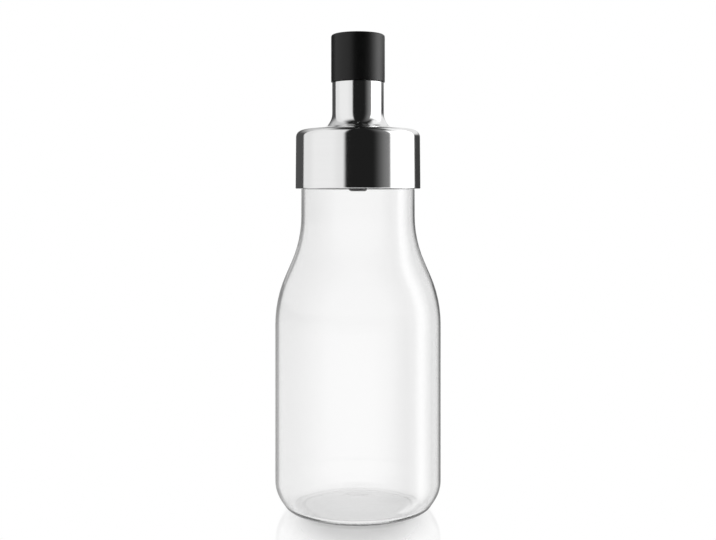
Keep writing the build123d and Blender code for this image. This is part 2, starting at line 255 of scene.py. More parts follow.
def ridge_tree():
    """Geometry Nodes that raise the evenly spaced screw ridges out of a round wall."""
    tree = bpy.data.node_groups.new("screw_ridges", "GeometryNodeTree")
    add_sockets(tree, "Geometry", "INPUT", ("Geometry",))
    add_sockets(tree, "Float", "INPUT", RIDGE_SIZES)
    add_sockets(tree, "Material", "INPUT", ("Material",))
    add_sockets(tree, "Geometry", "OUTPUT", ("Geometry",))
    given = add_node(tree, "NodeGroupInput").outputs
    split = add_node(tree, "ShaderNodeSeparateXYZ")
    tree.links.new(add_node(tree, "GeometryNodeInputPosition").outputs[0], split.inputs[0])
    x, y, z = split.outputs
    radius = axis_distance(tree, x, y)
    lift = ridge_lift(tree, given, x, y, z, radius)
    grown = calculate(tree, "ADD", 1.0, calculate(tree, "DIVIDE", lift, radius))
    moved = add_node(tree, "ShaderNodeCombineXYZ")
    tree.links.new(calculate(tree, "MULTIPLY", x, grown), moved.inputs[0])
    tree.links.new(calculate(tree, "MULTIPLY", y, grown), moved.inputs[1])
    tree.links.new(z, moved.inputs[2])
    place = add_node(tree, "GeometryNodeSetPosition")
    tree.links.new(given["Geometry"], place.inputs["Geometry"])
    tree.links.new(moved.outputs[0], place.inputs["Position"])
    real = add_node(tree, "GeometryNodeRealizeInstances")
    tree.links.new(place.outputs[0], real.inputs[0])
    dressed = add_node(tree, "GeometryNodeSetMaterial")
    tree.links.new(real.outputs[0], dressed.inputs["Geometry"])
    tree.links.new(given["Material"], dressed.inputs["Material"])
    tree.links.new(dressed.outputs[0], add_node(tree, "NodeGroupOutput").inputs[0])
    return tree


def apply_tree(piece, tree, **values):
    """Runs a Geometry Nodes tree on a piece and keeps the result as its plain mesh."""
    modifier = piece.modifiers.new(tree.name, "NODES")
    modifier.node_group = tree
    for item in tree.interface.items_tree:
        label = item.name.lower().replace(" ", "_")
        if item.in_out == "INPUT" and label in values:
            modifier[item.identifier] = values[label]
    bpy.context.view_layer.update()
    evaluated = piece.evaluated_get(bpy.context.evaluated_depsgraph_get())
    mesh = bpy.data.meshes.new_from_object(evaluated)
    piece.modifiers.remove(modifier)
    old = piece.data
    mesh.name = piece.name
    piece.data = mesh
    bpy.data.meshes.remove(old)


# Materials

LINE_DETAIL = 4.0            # detail and roughness of the noise that makes the turned lines
LINE_BREAK = 0.6
ROUND_SCALE = 12.0           # how fast a turned line changes along its way round
LINE_DEPTH = 0.02 * MM
QUARTER_TURN = 0.25          # the long side of the steel's highlight runs along the axis
SKIN_DETAIL = 3.0            # detail of the noise of a moulded skin, fine and broad
TONE_DETAIL = 2.0
BROAD_SHARE = 0.04           # scale of a skin's broad noise, as a share of its fine one
SKIN_DEPTH = 0.03 * MM
GLASS_INDEX = 1.5
GLASS_SKIN_SCALE = 60.0      # the glass has a faint waviness
GLASS_WAVE_STRENGTH = 0.04
GLASS_WAVE_DEPTH = 0.2 * MM
SCUFF_HEIGHT = 0.05 * MM     # and is scuffed where it stands, up to here
SCUFF_ROUGHNESS = (0.1, 0.3)


def grey(level):
    """Neutral colour."""
    return (level, level, level)


def empty_material(name):
    """Material with nothing but its output. Gives it with its tree and its surface socket."""
    material = bpy.data.materials.new(name)
    material.use_nodes = True
    tree = material.node_tree
    tree.nodes.clear()
    return material, tree, add_node(tree, "ShaderNodeOutputMaterial").inputs["Surface"]


def new_material(name):
    """Material with one Principled shader."""
    material, tree, surface = empty_material(name)
    shader = add_node(tree, "ShaderNodeBsdfPrincipled")
    tree.links.new(shader.outputs[0], surface)
    return material, tree, shader


def noise(tree, place, scale, **settings):
    """Noise texture with its scale from a number or a socket."""
    node = add_node(tree, "ShaderNodeTexNoise")
    tree.links.new(place, node.inputs["Vector"])
    if isinstance(scale, float):
        node.inputs["Scale"].default_value = scale
    else:
        tree.links.new(scale, node.inputs["Scale"])
    for label, value in settings.items():
        node.inputs[label.title()].default_value = value
    return node.outputs["Fac"]


def spread(tree, fac, low, high):
    """Spreads a mask between two sockets."""
    node = add_node(tree, "ShaderNodeMapRange")
    tree.links.new(fac, node.inputs["Value"])
    tree.links.new(low, node.inputs["To Min"])
    tree.links.new(high, node.inputs["To Max"])
    return node.outputs[0]


def grain_group():
    """Fine lines that run round the axis, as turning and brushing leave them."""
    tree = bpy.data.node_groups.new("turned_grain", "ShaderNodeTree")
    add_sockets(tree, "Float", "INPUT", ("Line Scale", "Round Scale", "Roughness Low", "Roughness High"))
    add_sockets(tree, "Float", "OUTPUT", ("Height", "Roughness", "Tone"))
    given = add_node(tree, "NodeGroupInput").outputs
    split = add_node(tree, "ShaderNodeSeparateXYZ")
    tree.links.new(add_node(tree, "ShaderNodeTexCoord").outputs["Object"], split.inputs[0])
    x, y, z = split.outputs
    along = calculate(tree, "ADD", z, axis_distance(tree, x, y))
    place = add_node(tree, "ShaderNodeCombineXYZ")
    tree.links.new(calculate(tree, "MULTIPLY", x, given["Round Scale"]), place.inputs[0])
    tree.links.new(calculate(tree, "MULTIPLY", y, given["Round Scale"]), place.inputs[1])
    tree.links.new(calculate(tree, "MULTIPLY", along, given["Line Scale"]), place.inputs[2])
    lines = noise(tree, place.outputs[0], 1.0, detail=LINE_DETAIL, roughness=LINE_BREAK)
    result = add_node(tree, "NodeGroupOutput").inputs
    tree.links.new(lines, result["Height"])
    tree.links.new(spread(tree, lines, given["Roughness Low"], given["Roughness High"]), result["Roughness"])
    tree.links.new(lines, result["Tone"])
    return tree


def skin_group():
    """Fine random texture of a moulded or blasted surface, with a faint change of tone."""
    tree = bpy.data.node_groups.new("moulded_skin", "ShaderNodeTree")
    add_sockets(tree, "Float", "INPUT", ("Grain Scale", "Roughness Low", "Roughness High"))
    add_sockets(tree, "Float", "OUTPUT", ("Height", "Roughness", "Tone"))
    given = add_node(tree, "NodeGroupInput").outputs
    place = add_node(tree, "ShaderNodeTexCoord").outputs["Object"]
    fine = noise(tree, place, given["Grain Scale"], detail=SKIN_DETAIL)
    broad_scale = calculate(tree, "MULTIPLY", given["Grain Scale"], BROAD_SHARE)
    broad = noise(tree, place, broad_scale, detail=TONE_DETAIL)
    result = add_node(tree, "NodeGroupOutput").inputs
    tree.links.new(fine, result["Height"])
    tree.links.new(spread(tree, broad, given["Roughness Low"], given["Roughness High"]), result["Roughness"])
    tree.links.new(broad, result["Tone"])
    return tree


TURNED_GRAIN = grain_group()
MOULDED_SKIN = skin_group()


def place_group(tree, group, **values):
    """Puts a node group into a material and sets its named inputs."""
    node = add_node(tree, "ShaderNodeGroup", node_tree=group)
    for label, value in values.items():
        node.inputs[label.replace("_", " ").title()].default_value = value
    return node.outputs


def tint(tree, fac, tones):
    """Grey between a dark and a light tone, by a mask."""
    mix = add_node(tree, "ShaderNodeMix", data_type="RGBA")
    tree.links.new(fac, mix.inputs["Factor"])
    for label, tone in zip("AB", tones):
        mix.inputs[label].default_value = (*grey(tone), 1)
    return mix.outputs["Result"]


def bump(tree, height, strength, distance):
    """Bump normal from a height."""
    node = add_node(tree, "ShaderNodeBump")
    node.inputs["Strength"].default_value = strength
    node.inputs["Distance"].default_value = distance
    tree.links.new(height, node.inputs["Height"])
    return node.outputs[0]


def turned_metal(name, tones, roughness, anisotropy, line_scale, strength):
    """Metal with fine lines round the axis."""
    material, tree, shader = new_material(name)
    grain = place_group(tree, TURNED_GRAIN, line_scale=line_scale, round_scale=ROUND_SCALE,
                        roughness_low=roughness[0], roughness_high=roughness[1])
    tree.links.new(tint(tree, grain["Tone"], tones), shader.inputs["Base Color"])
    tree.links.new(grain["Roughness"], shader.inputs["Roughness"])
    tree.links.new(bump(tree, grain["Height"], strength, LINE_DEPTH), shader.inputs["Normal"])
    shader.inputs["Metallic"].default_value = 1.0
    shader.inputs["Anisotropic"].default_value = anisotropy
    shader.inputs["Anisotropic Rotation"].default_value = QUARTER_TURN
    tangent = add_node(tree, "ShaderNodeTangent", direction_type="RADIAL", axis="Z")
    tree.links.new(tangent.outputs[0], shader.inputs["Tangent"])
    return material


def moulded(name, tones, roughness, grain_scale, strength, specular=0.5):
    """Moulded plastic or rubber with a fine skin."""
    material, tree, shader = new_material(name)
    skin = place_group(tree, MOULDED_SKIN, grain_scale=grain_scale, roughness_low=roughness[0],
                       roughness_high=roughness[1])
    tree.links.new(tint(tree, skin["Tone"], tones), shader.inputs["Base Color"])
    tree.links.new(skin["Roughness"], shader.inputs["Roughness"])
    tree.links.new(bump(tree, skin["Height"], strength, SKIN_DEPTH), shader.inputs["Normal"])
    shader.inputs["Specular IOR Level"].default_value = specular
    return material


def facing_shade(tree, tones):
    """Painted shade: grey by how much a surface turns away from the eye, from 0 to 1."""
    facing = add_node(tree, "ShaderNodeLayerWeight")
    facing.inputs["Blend"].default_value = 0.5
    ramp = add_node(tree, "ShaderNodeValToRGB")
    elements = ramp.color_ramp.elements
    while len(elements) < len(tones):
        elements.new(1.0)
    for element, (place, tone) in zip(elements, tones):
        element.position = place
        element.color = (*grey(tone), 1)
    tree.links.new(facing.outputs["Facing"], ramp.inputs["Fac"])
    return ramp.outputs["Color"]


def clear_glass(name, tones):
    """Clear polished glass with painted shade, darker where the eye looks along its wall, and scuffed under
    its foot.
    """
    material, tree, shader = new_material(name)
    tree.links.new(facing_shade(tree, tones), shader.inputs["Base Color"])
    skin = place_group(tree, MOULDED_SKIN, grain_scale=GLASS_SKIN_SCALE, roughness_low=SCUFF_ROUGHNESS[0],
                       roughness_high=SCUFF_ROUGHNESS[1])
    split = add_node(tree, "ShaderNodeSeparateXYZ")
    tree.links.new(add_node(tree, "ShaderNodeTexCoord").outputs["Object"], split.inputs[0])
    under = calculate(tree, "LESS_THAN", split.outputs["Z"], SCUFF_HEIGHT)
    tree.links.new(calculate(tree, "MULTIPLY", under, skin["Roughness"]), shader.inputs["Roughness"])
    wave = bump(tree, skin["Height"], GLASS_WAVE_STRENGTH, GLASS_WAVE_DEPTH)
    tree.links.new(wave, shader.inputs["Normal"])
    shader.inputs["Transmission Weight"].default_value = 1.0
    shader.inputs["IOR"].default_value = GLASS_INDEX
    return material


# Painted shade of the clear glass by how far it turns from the eye: grey over its sides and outline, nearly
# white where it faces the eye
GLASS_FACING_SHADE = (
    (0.0, 0.995), (0.08, 0.985), (0.15, 0.95), (0.22, 0.93), (0.32, 0.92),
    (0.5, 0.925), (0.7, 0.94), (0.85, 0.93), (1.0, 0.95),
)
GLASS = clear_glass("clear_glass", GLASS_FACING_SHADE)
LID_STEEL = turned_metal("brushed_lid_steel", tones=(0.70, 0.80), roughness=(0.09, 0.15), anisotropy=0.8,
                         line_scale=9000.0, strength=0.2)
ROD_STEEL = turned_metal("drawn_rod_steel", tones=(0.62, 0.74), roughness=(0.12, 0.24), anisotropy=0.3,
                         line_scale=5000.0, strength=0.2)
LIP_STEEL = turned_metal("turned_lip_steel", tones=(0.68, 0.78), roughness=(0.12, 0.22), anisotropy=0.4,
                         line_scale=7000.0, strength=0.2)
CAP_BLACK = moulded("matt_black_cap", tones=(0.001, 0.003), roughness=(0.34, 0.38), grain_scale=5200.0,
                    strength=0.15, specular=0.3)
INNER_BLACK = moulded("black_inner_moulding", tones=(0.016, 0.026), roughness=(0.38, 0.5),
                      grain_scale=2600.0, strength=0.2)
NUT_BLACK = moulded("black_nut", tones=(0.012, 0.02), roughness=(0.12, 0.2), grain_scale=1800.0,
                    strength=0.08)
SEAL_BLACK = moulded("black_silicone", tones=(0.022, 0.034), roughness=(0.5, 0.62), grain_scale=1500.0,
                     strength=0.15)


# Bottle

# Heights are above the foot, and a bend is the radius that rounds the corner it is named after.
BODY_RADIUS = 33.0 * MM
NECK_RADIUS = 22.65 * MM
SHOULDER_LOW = 83.6 * MM
SHOULDER_HIGH = 107.25 * MM
SHOULDER_LOW_BEND = 48.5 * MM
SHOULDER_HIGH_BEND = 45.0 * MM
BASE_SLOPE_RISE = 7.7 * MM
BASE_SLOPE_RUN = 5.1 * MM
BASE_HIGH_BEND = 13.0 * MM
BASE_LOW_BEND = 5.7 * MM
FOOT_RUN = 11.4 * MM
FOOT_BEND = 12.0 * MM
PUSH_UP = 1.0 * MM           # hollow under the base
PUSH_UP_RUN = 12.6 * MM
PUSH_UP_BEND = 60.0 * MM
BODY_WALL = 1.4 * MM
NECK_WALL = 1.5 * MM
FLOOR_THICKNESS = 1.8 * MM
FLOOR_DROP = 1.0 * MM        # the floor inside is domed by this much
FLOOR_BEND = 50.0 * MM
FINISH_RADIUS = 20.8 * MM
FINISH_WALL = 2.1 * MM
RIM_ROUND = 0.9 * MM
STEP_ABOVE_COLLAR = 2.2 * MM     # the neck ends this much above the collar's lower edge
FINISH_STEP_RISE = 2.0 * MM
FINISH_STEP_BEND = 0.6 * MM
MOUTH_STEP_DROP = 0.3 * MM
MOUTH_STEP_RISE = 3.0 * MM
MOUTH_STEP_BEND = 1.5 * MM
THREAD_STARTS = 3.0
THREAD_LEAD = 12.0 * MM
RIDGE_HEIGHT = 1.2 * MM
RIDGE_BASE = 2.2 * MM
RIDGE_CREST = 1.2 * MM
RIDGE_SPAN = math.radians(100)
RIDGE_LIFT = 5.4 * MM            # a ridge begins this much above that step
RIDGE_END = 4.0 * MM             # length over which a ridge runs out
RIDGE_ROW = 0.2 * MM             # rows of faces that the ridges are raised from


def glass_corners():
    """Corners of the glass section: outside from the foot up, over the rim, and down the inside."""
    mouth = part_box("glass_bottle")[1].z
    finish_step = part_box("lid_shell")[0].z + STEP_ABOVE_COLLAR
    mouth_step = finish_step - MOUTH_STEP_DROP
    foot_inner = BODY_RADIUS - FOOT_RUN
    inner_body = BODY_RADIUS - BODY_WALL
    inner_neck = NECK_RADIUS - NECK_WALL
    mouth_radius = FINISH_RADIUS - FINISH_WALL
    half_slope = math.atan2(BODY_RADIUS - NECK_RADIUS, SHOULDER_HIGH - SHOULDER_LOW) / 2
    base_slope = math.atan2(BASE_SLOPE_RUN, BASE_SLOPE_RISE)
    base_top = BASE_SLOPE_RISE + BODY_WALL * math.tan(base_slope / 2)
    floor = PUSH_UP + FLOOR_THICKNESS
    low_floor = floor - FLOOR_DROP
    slope_out = (base_top - low_floor) * math.tan(base_slope)
    return [
        (0, PUSH_UP, 0),
        (foot_inner - PUSH_UP_RUN, PUSH_UP, PUSH_UP_BEND),
        (foot_inner, 0, FOOT_BEND),
        (BODY_RADIUS - BASE_SLOPE_RUN, 0, BASE_LOW_BEND),
        (BODY_RADIUS, BASE_SLOPE_RISE, BASE_HIGH_BEND),
        (BODY_RADIUS, SHOULDER_LOW, SHOULDER_LOW_BEND),
        (NECK_RADIUS, SHOULDER_HIGH, SHOULDER_HIGH_BEND),
        (NECK_RADIUS, finish_step, FINISH_STEP_BEND),
        (FINISH_RADIUS, finish_step + FINISH_STEP_RISE, FINISH_STEP_BEND),
        (FINISH_RADIUS, mouth, RIM_ROUND),
        (mouth_radius, mouth, RIM_ROUND),
        (mouth_radius, mouth_step + MOUTH_STEP_RISE, MOUTH_STEP_BEND),
        (inner_neck, mouth_step, MOUTH_STEP_BEND),
        (inner_neck, SHOULDER_HIGH - NECK_WALL * math.tan(half_slope), SHOULDER_HIGH_BEND + NECK_WALL),
        (inner_body, SHOULDER_LOW - BODY_WALL * math.tan(half_slope), SHOULDER_LOW_BEND - BODY_WALL),
        (inner_body, base_top, BASE_HIGH_BEND - BODY_WALL),
        (inner_body - slope_out, low_floor, BASE_LOW_BEND - BODY_WALL),
        (foot_inner, low_floor, FLOOR_BEND),
        (foot_inner - PUSH_UP_RUN, floor, FLOOR_BEND),
        (0, floor, 0),
    ]


def ridge_low():
    """Height of the low end of a screw ridge."""
    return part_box("lid_shell")[0].z + STEP_ABOVE_COLLAR + RIDGE_LIFT


def with_thread_rows(points):
    """Adds close rows of points where the screw ridges stand."""
    low = ridge_low() - RIDGE_BASE
    high = ridge_low() + THREAD_LEAD / THREAD_STARTS + RIDGE_BASE
    count = round((high - low) / RIDGE_ROW)
    heights = [low + (high - low) * row / count for row in range(count + 1)]
    rows = []
    for start, end in neighbours(points, closed=False):
        rows.append(start)
        if max(abs(start[0] - FINISH_RADIUS), abs(end[0] - FINISH_RADIUS)) < RIDGE_ROW:
            rows += [(FINISH_RADIUS, height) for height in heights if start[1] < height < end[1]]
    return rows + points[-1:]


def make_bottle():
    """Glass bottle with its screw ridges."""
    points = with_thread_rows(outline(glass_corners(), closed=False))
    bottle = turned("bottle_glass", points, closed=False)
    apply_tree(bottle, ridge_tree(), starts=THREAD_STARTS, lead=THREAD_LEAD, low_height=ridge_low(),
               span=RIDGE_SPAN, wall_radius=FINISH_RADIUS, ridge_height=RIDGE_HEIGHT,
               base_width=RIDGE_BASE, crest_width=RIDGE_CREST, end_length=RIDGE_END, material=GLASS)
    finish_piece(bottle, "bottle", "glass_bottle", GLASS)


make_bottle()


# Lid shell

SHELL_WALL = 0.8 * MM
COLLAR_DRAFT = 0.2 * MM      # the collar is this much narrower at its top
SHELL_SHOULDER_BEND = 3.0 * MM
SHELL_NECK_RADIUS = 10.35 * MM
SHELL_NECK_HEIGHT = 18.9 * MM
SHELL_NECK_BEND = 6.6 * MM
SHELL_RIM_BEND = 0.25 * MM
HEM_WIDTH = 2.0 * MM
HEM_CORNER = 0.4 * MM
THIN_EDGE = 0.15 * MM        # round of a thin edge, here and on the cap and its lip


def make_lid_shell():
    """Drawn steel shell with its collar, flat shoulder and neck."""
    low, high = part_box("lid_shell")
    collar = high.x
    shoulder = high.z - SHELL_NECK_HEIGHT
    inside = collar - SHELL_WALL
    neck_inside = SHELL_NECK_RADIUS - SHELL_WALL
    corners = [
        (collar - HEM_WIDTH, low.z, THIN_EDGE),
        (collar, low.z, HEM_CORNER),
        (collar - COLLAR_DRAFT, shoulder, SHELL_SHOULDER_BEND),
        (SHELL_NECK_RADIUS, shoulder, SHELL_NECK_BEND),
        (SHELL_NECK_RADIUS, high.z, SHELL_RIM_BEND),
        (neck_inside, high.z, SHELL_RIM_BEND),
        (neck_inside, shoulder - SHELL_WALL, SHELL_NECK_BEND + SHELL_WALL),
        (inside - COLLAR_DRAFT, shoulder - SHELL_WALL, SHELL_SHOULDER_BEND - SHELL_WALL),
        (inside, low.z + SHELL_WALL, THIN_EDGE),
        (collar - HEM_WIDTH, low.z + SHELL_WALL, THIN_EDGE),
    ]
    shell = turned("steel_lid", outline(corners, closed=True), closed=True)
    finish_piece(shell, "lid", "lid_shell", LID_STEEL)


make_lid_shell()


# Cap and pour lip

CAP_WALL = 1.7 * MM
CAP_RIB_HEIGHT = 2.4 * MM
CAP_RIB_RADIUS = 8.3 * MM
CAP_ROOF = 4.4 * MM
CAP_ROOF_BEND = 0.4 * MM
CAP_TOP_EDGE = 0.9 * MM
CAP_LOW_EDGE = 0.25 * MM
DISH_DEPTH = 0.8 * MM
DISH_RIM = 1.6 * MM
DISH_RUN = 0.9 * MM
DISH_BEND = 0.4 * MM
LIP_SEAT_RADIUS = 4.2 * MM
LIP_FOOT_HEIGHT = 2.4 * MM
LIP_EDGE_WIDTH = 1.1 * MM
LIP_FLARE = 0.3 * MM
LIP_ROUND = 0.3 * MM
LIP_HOLE_RADIUS = 3.2 * MM


def make_cap():
    """Matt black cap with its dished top and the bore that slides on the spigot."""
    low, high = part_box("pull_cap")
    radius = high.x
    lip_low, lip_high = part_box("pour_lip")
    dish_edge = radius - DISH_RIM
    corners = [
        (CAP_RIB_RADIUS, low.z, CAP_LOW_EDGE),
        (radius, low.z, CAP_LOW_EDGE),
        (radius, high.z, CAP_TOP_EDGE),
        (dish_edge, high.z, DISH_BEND),
        (dish_edge - DISH_RUN, high.z - DISH_DEPTH, DISH_BEND),
        (lip_high.x, high.z - DISH_DEPTH, THIN_EDGE),
        (lip_high.x, lip_low.z, 0),
        (LIP_SEAT_RADIUS, lip_low.z, 0),
        (LIP_SEAT_RADIUS, high.z - CAP_ROOF, 0),
        (radius - CAP_WALL, high.z - CAP_ROOF, CAP_ROOF_BEND),
        (radius - CAP_WALL, low.z + CAP_RIB_HEIGHT, 0),
        (CAP_RIB_RADIUS, low.z + CAP_RIB_HEIGHT, 0),
    ]
    cap = turned("black_cap", outline(corners, closed=True), closed=True)
    finish_piece(cap, "cap", "pull_cap", CAP_BLACK)


def make_pour_lip():
    """Turned ring in the cap's top with a thin flared edge."""
    low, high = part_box("pour_lip")
    waist = LIP_HOLE_RADIUS + LIP_EDGE_WIDTH - LIP_FLARE
    corners = [
        (LIP_HOLE_RADIUS, low.z, 0),
        (high.x, low.z, 0),
        (high.x, low.z + LIP_FOOT_HEIGHT, THIN_EDGE),
        (waist, low.z + LIP_FOOT_HEIGHT, LIP_ROUND),
        (LIP_HOLE_RADIUS + LIP_EDGE_WIDTH, high.z, THIN_EDGE),
        (LIP_HOLE_RADIUS, high.z, LIP_ROUND),
    ]
    lip = turned("pour_ring", outline(corners, closed=True), closed=True, segments=SMALL_SEGMENTS)
    finish_piece(lip, "cap", "pour_lip", LIP_STEEL)


make_cap()
make_pour_lip()


# Nodes that keep their own shape

NODE_MATERIALS = {
    "lid_gasket": SEAL_BLACK,
    "thread_liner": INNER_BLACK,
    "tube_gasket": SEAL_BLACK,
    "pour_tube": INNER_BLACK,
    "neck_seal": SEAL_BLACK,
    "cap_seal": SEAL_BLACK,
    "stop_ring": INNER_BLACK,
    "strainer": INNER_BLACK,
    "stem_rod": ROD_STEEL,
    "stem_plug": SEAL_BLACK,
    "stem_nut": NUT_BLACK,
}
for node_name, node_material in NODE_MATERIALS.items():
    for material_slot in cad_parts[node_name].material_slots:
        material_slot.material = node_material


# Floor, reflection cards and light

FLOOR_RADIUS = 12.0          # metres, so that its edge lies beyond the picture
SHADOW_FRONT = 12 * MM       # the shadow on the floor lies in front of the axis
SHADOW_NARROWING = 1.75      # it is this much longer than wide
SHADOW_NEAR = 23 * MM        # and fades out from here
SHADOW_FAR = 56 * MM
# Most of the shadow near the foot is painted: a grey glow at this level, mixed in at this share over the
# paint's real shadow.
PAINTED_SHADOW_LEVEL = 0.58          # grey of the painted shadow, an even glow that darkens the floor near the bottle
PAINTED_SHADOW_SHARE = 0.88
UNDER_SHADE_LEVEL = 0.76           # painted shade: grey glow of the floor under the bottle, seen through its base
UNDER_NEAR = 16 * MM
UNDER_FAR = 42 * MM
POLISH = 0.13                # mirroring of the floor round the bottle
POLISH_NEAR = 60 * MM
POLISH_FAR = 110 * MM
CARD_RADIUS = 0.9            # metres; the cards are sheets of spheres
CARD_MIDDLE = 0.1            # and this is the height of their middle
CARD_STEP = 1                # degrees between two columns of points, and between two rows
CARD_ROW_STEP = 2
CARD_POLE = 89               # degrees; the last row, above and below

# Soft-edged cards that the satin and matt parts mirror, in degrees right of the camera and above the
# horizon. Each has its left, right, low and high edge with the softness of that edge, and its level. A card
# covers the ones before it.
ROOM_LEVEL = 0.015
SATIN_CARDS = (
    ((-190, 5), (-24, 8), (-100, 5), (-21, 18), 1.05),       # floor on the left
    ((52, 20), (190, 5), (-100, 5), (-21, 18), 1.1),         # floor on the right
    ((-24, 8), (52, 20), (-100, 5), (-60, 50), 1.0),         # floor in front
    ((-24, 8), (75, 20), (-30, 30), (62, 50), 0.28),         # light that spills in front, at the right
    ((-24, 8), (43, 34), (-45, 20), (100, 5), 0.016),        # dark flag in front
    ((-170, 6), (-114, 6), (-30, 10), (34, 30), 0.09),       # dark flags at the sides
    ((120, 6), (168, 6), (-30, 10), (26, 24), 0.055),
    ((-166, 10), (-112, 16), (30, 24), (42, 8), 0.7),        # wall on the left, towards the back
    ((-156, 20), (-100, 20), (40, 12), (68, 14), 0.75),
    ((118, 6), (166, 10), (14, 12), (47, 10), 1.0),          # wall on the right, towards the back
    ((105, 20), (148, 20), (42, 12), (66, 16), 1.1),
    ((-190, 5), (-166, 4), (-30, 10), (36, 10), 1.0),        # wall behind
    ((166, 4), (190, 5), (-30, 10), (38, 12), 1.0),
    ((-117, 3), (-24, 7), (-30, 10), (63, 22), 1.0),         # softbox on the left
    ((-92, 20), (-40, 20), (-30, 10), (52, 20), 1.1),        # its middle
    ((61, 5), (124, 8), (-30, 10), (45, 22), 2.1),           # softbox on the right
    ((80, 5), (107, 5), (-30, 10), (36, 12), 4.0),           # its middle
    ((88, 16), (136, 20), (46, 16), (62, 12), 1.2),          # its bounce from above
)

# Brightness that the clear glass mirrors on its outside. A row has places from left to right with their
# levels, and stands at its height; all are in degrees.
WHITE_ROW = ((-180, 1.0), (180, 1.0))
MIRROR_HIGH = (
    (-180, 1.0), (-150, 1.0), (-120, 0.8), (-60, 0.5), (60, 0.4), (120, 0.7), (150, 1.0), (180, 1.0),
)
MIRROR_TOP = ((-180, 1.0), (-150, 1.0), (-120, 0.85), (120, 0.85), (150, 1.0), (180, 1.0))
MIRROR_LOW = (
    (-180, 1.0), (-170, 0.9), (-164, 0.45), (-150, 0.4), (-144, 0.6), (-138, 0.85), (-134, 0.95),
    (-100, 0.85), (20, 0.8), (46, 0.45), (60, 0.2), (75, 0.2), (110, 0.4), (130, 0.8), (142, 0.8),
    (150, 0.5), (154, 0.25), (164, 0.25), (170, 0.9), (180, 1.0),
)
MIRROR_ROWS = (
    (-89, WHITE_ROW),
    (-45, WHITE_ROW),
    (-28, MIRROR_LOW),
    (-12, MIRROR_LOW),
    (2, (
        (-180, 0.5), (-166, 0.25), (-146, 0.25), (-140, 0.7), (-125, 0.6), (-100, 0.15), (0, 0.0), (75, 0.0),
        (110, 0.1), (130, 0.7), (142, 0.7), (150, 0.3), (154, 0.1), (166, 0.1), (180, 0.5),
    )),
    (5, MIRROR_HIGH),
    (35, MIRROR_HIGH),
    (60, MIRROR_TOP),
    (89, WHITE_ROW),
)

# Brightness that comes out of the clear glass after a reflection within it
WALL_HIGH = (
    (-180, 0.9), (-172, 0.6), (-168, 0.3), (-148, 0.25), (-144, 0.5), (-136, 0.8), (-60, 0.5), (60, 0.4),
    (120, 0.7), (142, 0.7), (150, 0.5), (155, 0.12), (170, 0.12), (175, 0.5), (180, 0.9),
)
WALL_LOW = (
    (-180, 0.9), (-172, 0.8), (-166, 0.5), (-148, 0.45), (-144, 0.6), (-140, 0.8), (-134, 0.95),
    (-100, 0.85), (20, 0.8), (46, 0.45), (60, 0.2), (75, 0.2), (110, 0.4), (130, 0.8), (142, 0.8),
    (149, 0.6), (154, 0.22), (164, 0.3), (170, 0.7), (180, 0.9),
)
WALL_ROWS = (
    (-89, WHITE_ROW),
    (-45, WHITE_ROW),
    (-28, WALL_LOW),
    (-12, WALL_LOW),
    (2, WALL_HIGH),
    (40, WALL_HIGH),
    (60, WHITE_ROW),
    (89, WHITE_ROW),
)
FAR_WALL_LEVEL = 0.8         # brightness that comes out of the wall behind, after a reflection within it
FAR_WALL_DEPTH = 2.5         # a ray that went through more surfaces than this has reached that wall
GLASS_CARD_RADIUS = 0.8

# Soft bright strip at the right of the clear glass
STRIP_ROW = ((68, 0.2), (80, 1.3), (90, 3.6), (97, 3.6), (108, 1.8), (120, 0.4))
STRIP_ROWS = ((-60, STRIP_ROW), (60, STRIP_ROW))
STRIP_RADIUS = 0.7


def light_path_mix(tree, kinds, yes, no):
    """Mixes two shaders: the first is what rays of the named kinds see."""
    path = add_node(tree, "ShaderNodeLightPath")
    fac = 0.0
    for kind in kinds:
        fac = calculate(tree, "MAXIMUM", fac, path.outputs[kind])
    fac = calculate(tree, "MINIMUM", fac, 1.0)
    mix = add_node(tree, "ShaderNodeMixShader")
    tree.links.new(fac, mix.inputs[0])
    tree.links.new(no, mix.inputs[1])
    tree.links.new(yes, mix.inputs[2])
    return mix.outputs[0]


def fade(tree, distance, near, far):
    """Smooth step from 0 to 1 between two distances."""
    step = add_node(tree, "ShaderNodeMapRange", interpolation_type="SMOOTHSTEP")
    step.inputs["From Min"].default_value = near
    step.inputs["From Max"].default_value = far
    tree.links.new(distance, step.inputs["Value"])
    return step.outputs[0]


def blend(tree, fac, first, second):
    """Mixes two shader nodes, by a number or a socket."""
    mix = add_node(tree, "ShaderNodeMixShader")
    if isinstance(fac, (int, float)):
        mix.inputs[0].default_value = fac
    else:
        tree.links.new(fac, mix.inputs[0])
    tree.links.new(first.outputs[0], mix.inputs[1])
    tree.links.new(second.outputs[0], mix.inputs[2])
    return mix


def emission(tree, level):
    """White light of a given level."""
    light = add_node(tree, "ShaderNodeEmission")
    light.inputs["Strength"].default_value = level
    return light


def floor_distance(tree, narrowing):
    """Distance on the floor from the middle of the shadow, for a round or a narrow shape."""
    place = add_node(tree, "ShaderNodeTexCoord").outputs["Object"]
    front = add_node(tree, "ShaderNodeVectorMath", operation="SUBTRACT")
    front.inputs[1].default_value = (0, -SHADOW_FRONT, 0)
    tree.links.new(place, front.inputs[0])
    narrow = add_node(tree, "ShaderNodeVectorMath", operation="MULTIPLY")
    narrow.inputs[1].default_value = (narrowing, 1, 1)
    tree.links.new(front.outputs[0], narrow.inputs[0])
    away = add_node(tree, "ShaderNodeVectorMath", operation="LENGTH")
    tree.links.new(narrow.outputs[0], away.inputs[0])
    return away.outputs["Value"]


